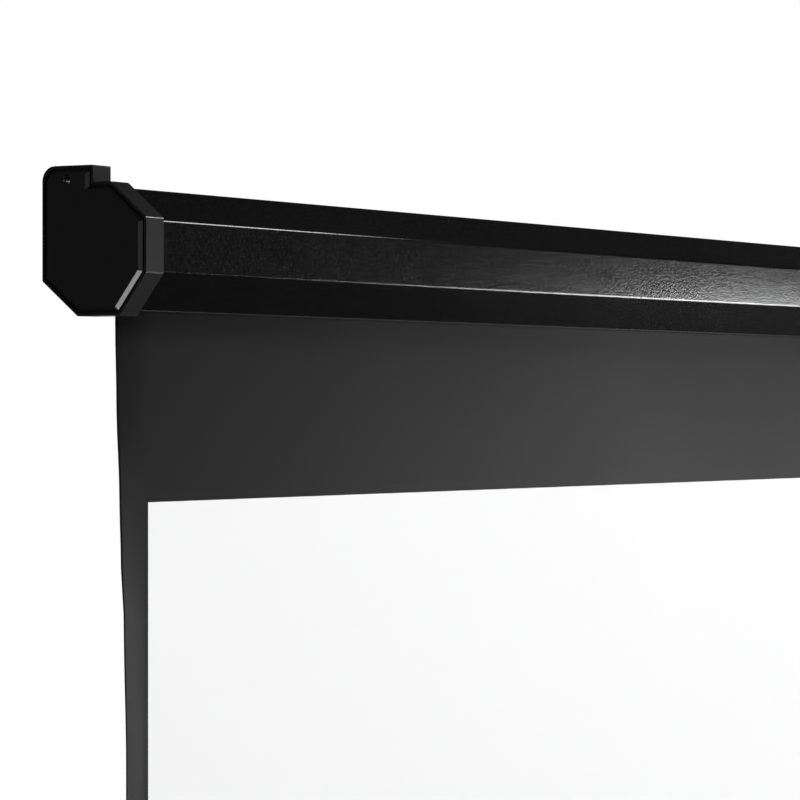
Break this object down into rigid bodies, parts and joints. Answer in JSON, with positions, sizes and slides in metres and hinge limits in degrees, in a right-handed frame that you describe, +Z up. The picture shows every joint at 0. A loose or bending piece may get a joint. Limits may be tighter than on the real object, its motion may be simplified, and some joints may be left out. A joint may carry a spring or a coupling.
{
  "type": "pull down projector screen",
  "caption": "Manual pull-down projection screen: octagonal case, spring roller with pawl ratchet, black-bordered sheet, weighted bar and swinging pull handle.",
  "frame": {"origin": "middle of the screen's length, on the wall plane, level with the tops of the mounting ears", "axes": "+X along the case to the right end seen from the audience, +Y towards the wall, +Z up"},
  "size_m": [1.998, 0.076, 1.3483],
  "materials": {
    "powder_coat": "textured black powder coat",
    "cap_plastic": "satin black moulded",
    "trim_plastic": "satin black moulded",
    "zinc_plate": "zinc plated",
    "nylon": "natural nylon",
    "steel": "bright steel",
    "spring_steel": "oiled spring steel",
    "black_sheet": "black coated screen sheet",
    "matte_white": "matte white screen coat",
    "bar_finish": "black anodised",
    "spline_plastic": "extruded plastic"
  },
  "bodies": {
    "case": {"case_housing": "powder_coat", "left_end_bracket": "cap_plastic", "right_end_bracket": "cap_plastic", "left_end_cover": "cap_plastic", "right_end_cover": "cap_plastic", "left_support_plate": "zinc_plate", "right_support_plate": "zinc_plate", "left_case_screw_1": "zinc_plate", "left_case_screw_2": "zinc_plate", "left_case_screw_3": "zinc_plate", "left_case_screw_4": "zinc_plate", "right_case_screw_1": "zinc_plate", "right_case_screw_2": "zinc_plate", "right_case_screw_3": "zinc_plate", "right_case_screw_4": "zinc_plate", "idle_bushing": "nylon", "spindle": "steel", "ratchet_wheel": "steel", "spindle_collar": "nylon"},
    "roller": {"roller_tube": "zinc_plate", "idle_pin": "steel", "idle_plug": "nylon", "pawl_carrier": "nylon", "spring_plug": "nylon", "torsion_spring": "spring_steel", "pawl_a_rivet": "steel", "pawl_b_rivet": "steel", "plug_pin_front_1": "steel", "plug_pin_rear_1": "steel", "plug_pin_front_2": "steel", "plug_pin_rear_2": "steel", "plug_pin_front_3": "steel", "plug_pin_rear_3": "steel", "roller_spline": "spline_plastic", "sheet_wrap": "black_sheet"},
    "drop": {"screen_sheet": "black_sheet", "picture_surface": "matte_white", "bottom_bar": "bar_finish", "hem_spline": "spline_plastic", "left_bar_cap": "trim_plastic", "right_bar_cap": "trim_plastic", "handle_saddle": "trim_plastic", "handle_screw_1": "zinc_plate", "handle_screw_2": "zinc_plate"},
    "pawl_a": {"pawl_a": "steel"},
    "pawl_b": {"pawl_b": "steel"},
    "handle": {"pull_handle": "trim_plastic"}
  },
  "joints": [
    {"name": "screen_drop", "type": "slide", "parent": "case", "child": "drop", "axis": [0, 0, 1], "range_m": [0, 1.189], "deforming": ["screen_sheet", "picture_surface"]},
    {"name": "roller_spin", "type": "hinge", "parent": "case", "child": "roller", "pos_m": [0, -0.04763, -0.0502], "axis": [1, 0, 0], "range_deg": [0, 3600]},
    {"name": "pawl_a_swing", "type": "hinge", "parent": "roller", "child": "pawl_a", "pos_m": [0.9815, -0.05663, -0.0406], "axis": [1, 0, 0], "range_deg": [-16.5, 0]},
    {"name": "pawl_b_swing", "type": "hinge", "parent": "roller", "child": "pawl_b", "pos_m": [0.9815, -0.03862, -0.0598], "axis": [1, 0, 0], "range_deg": [-16.5, 0]},
    {"name": "handle_swing", "type": "hinge", "parent": "drop", "child": "handle", "pos_m": [0, -0.03, -1.3121], "axis": [1, 0, 0], "range_deg": [-85, 85]}
  ],
  "couplings": [
    {"joint": "roller_spin", "follows": "screen_drop", "rad_per_m": 52.84}
  ]
}
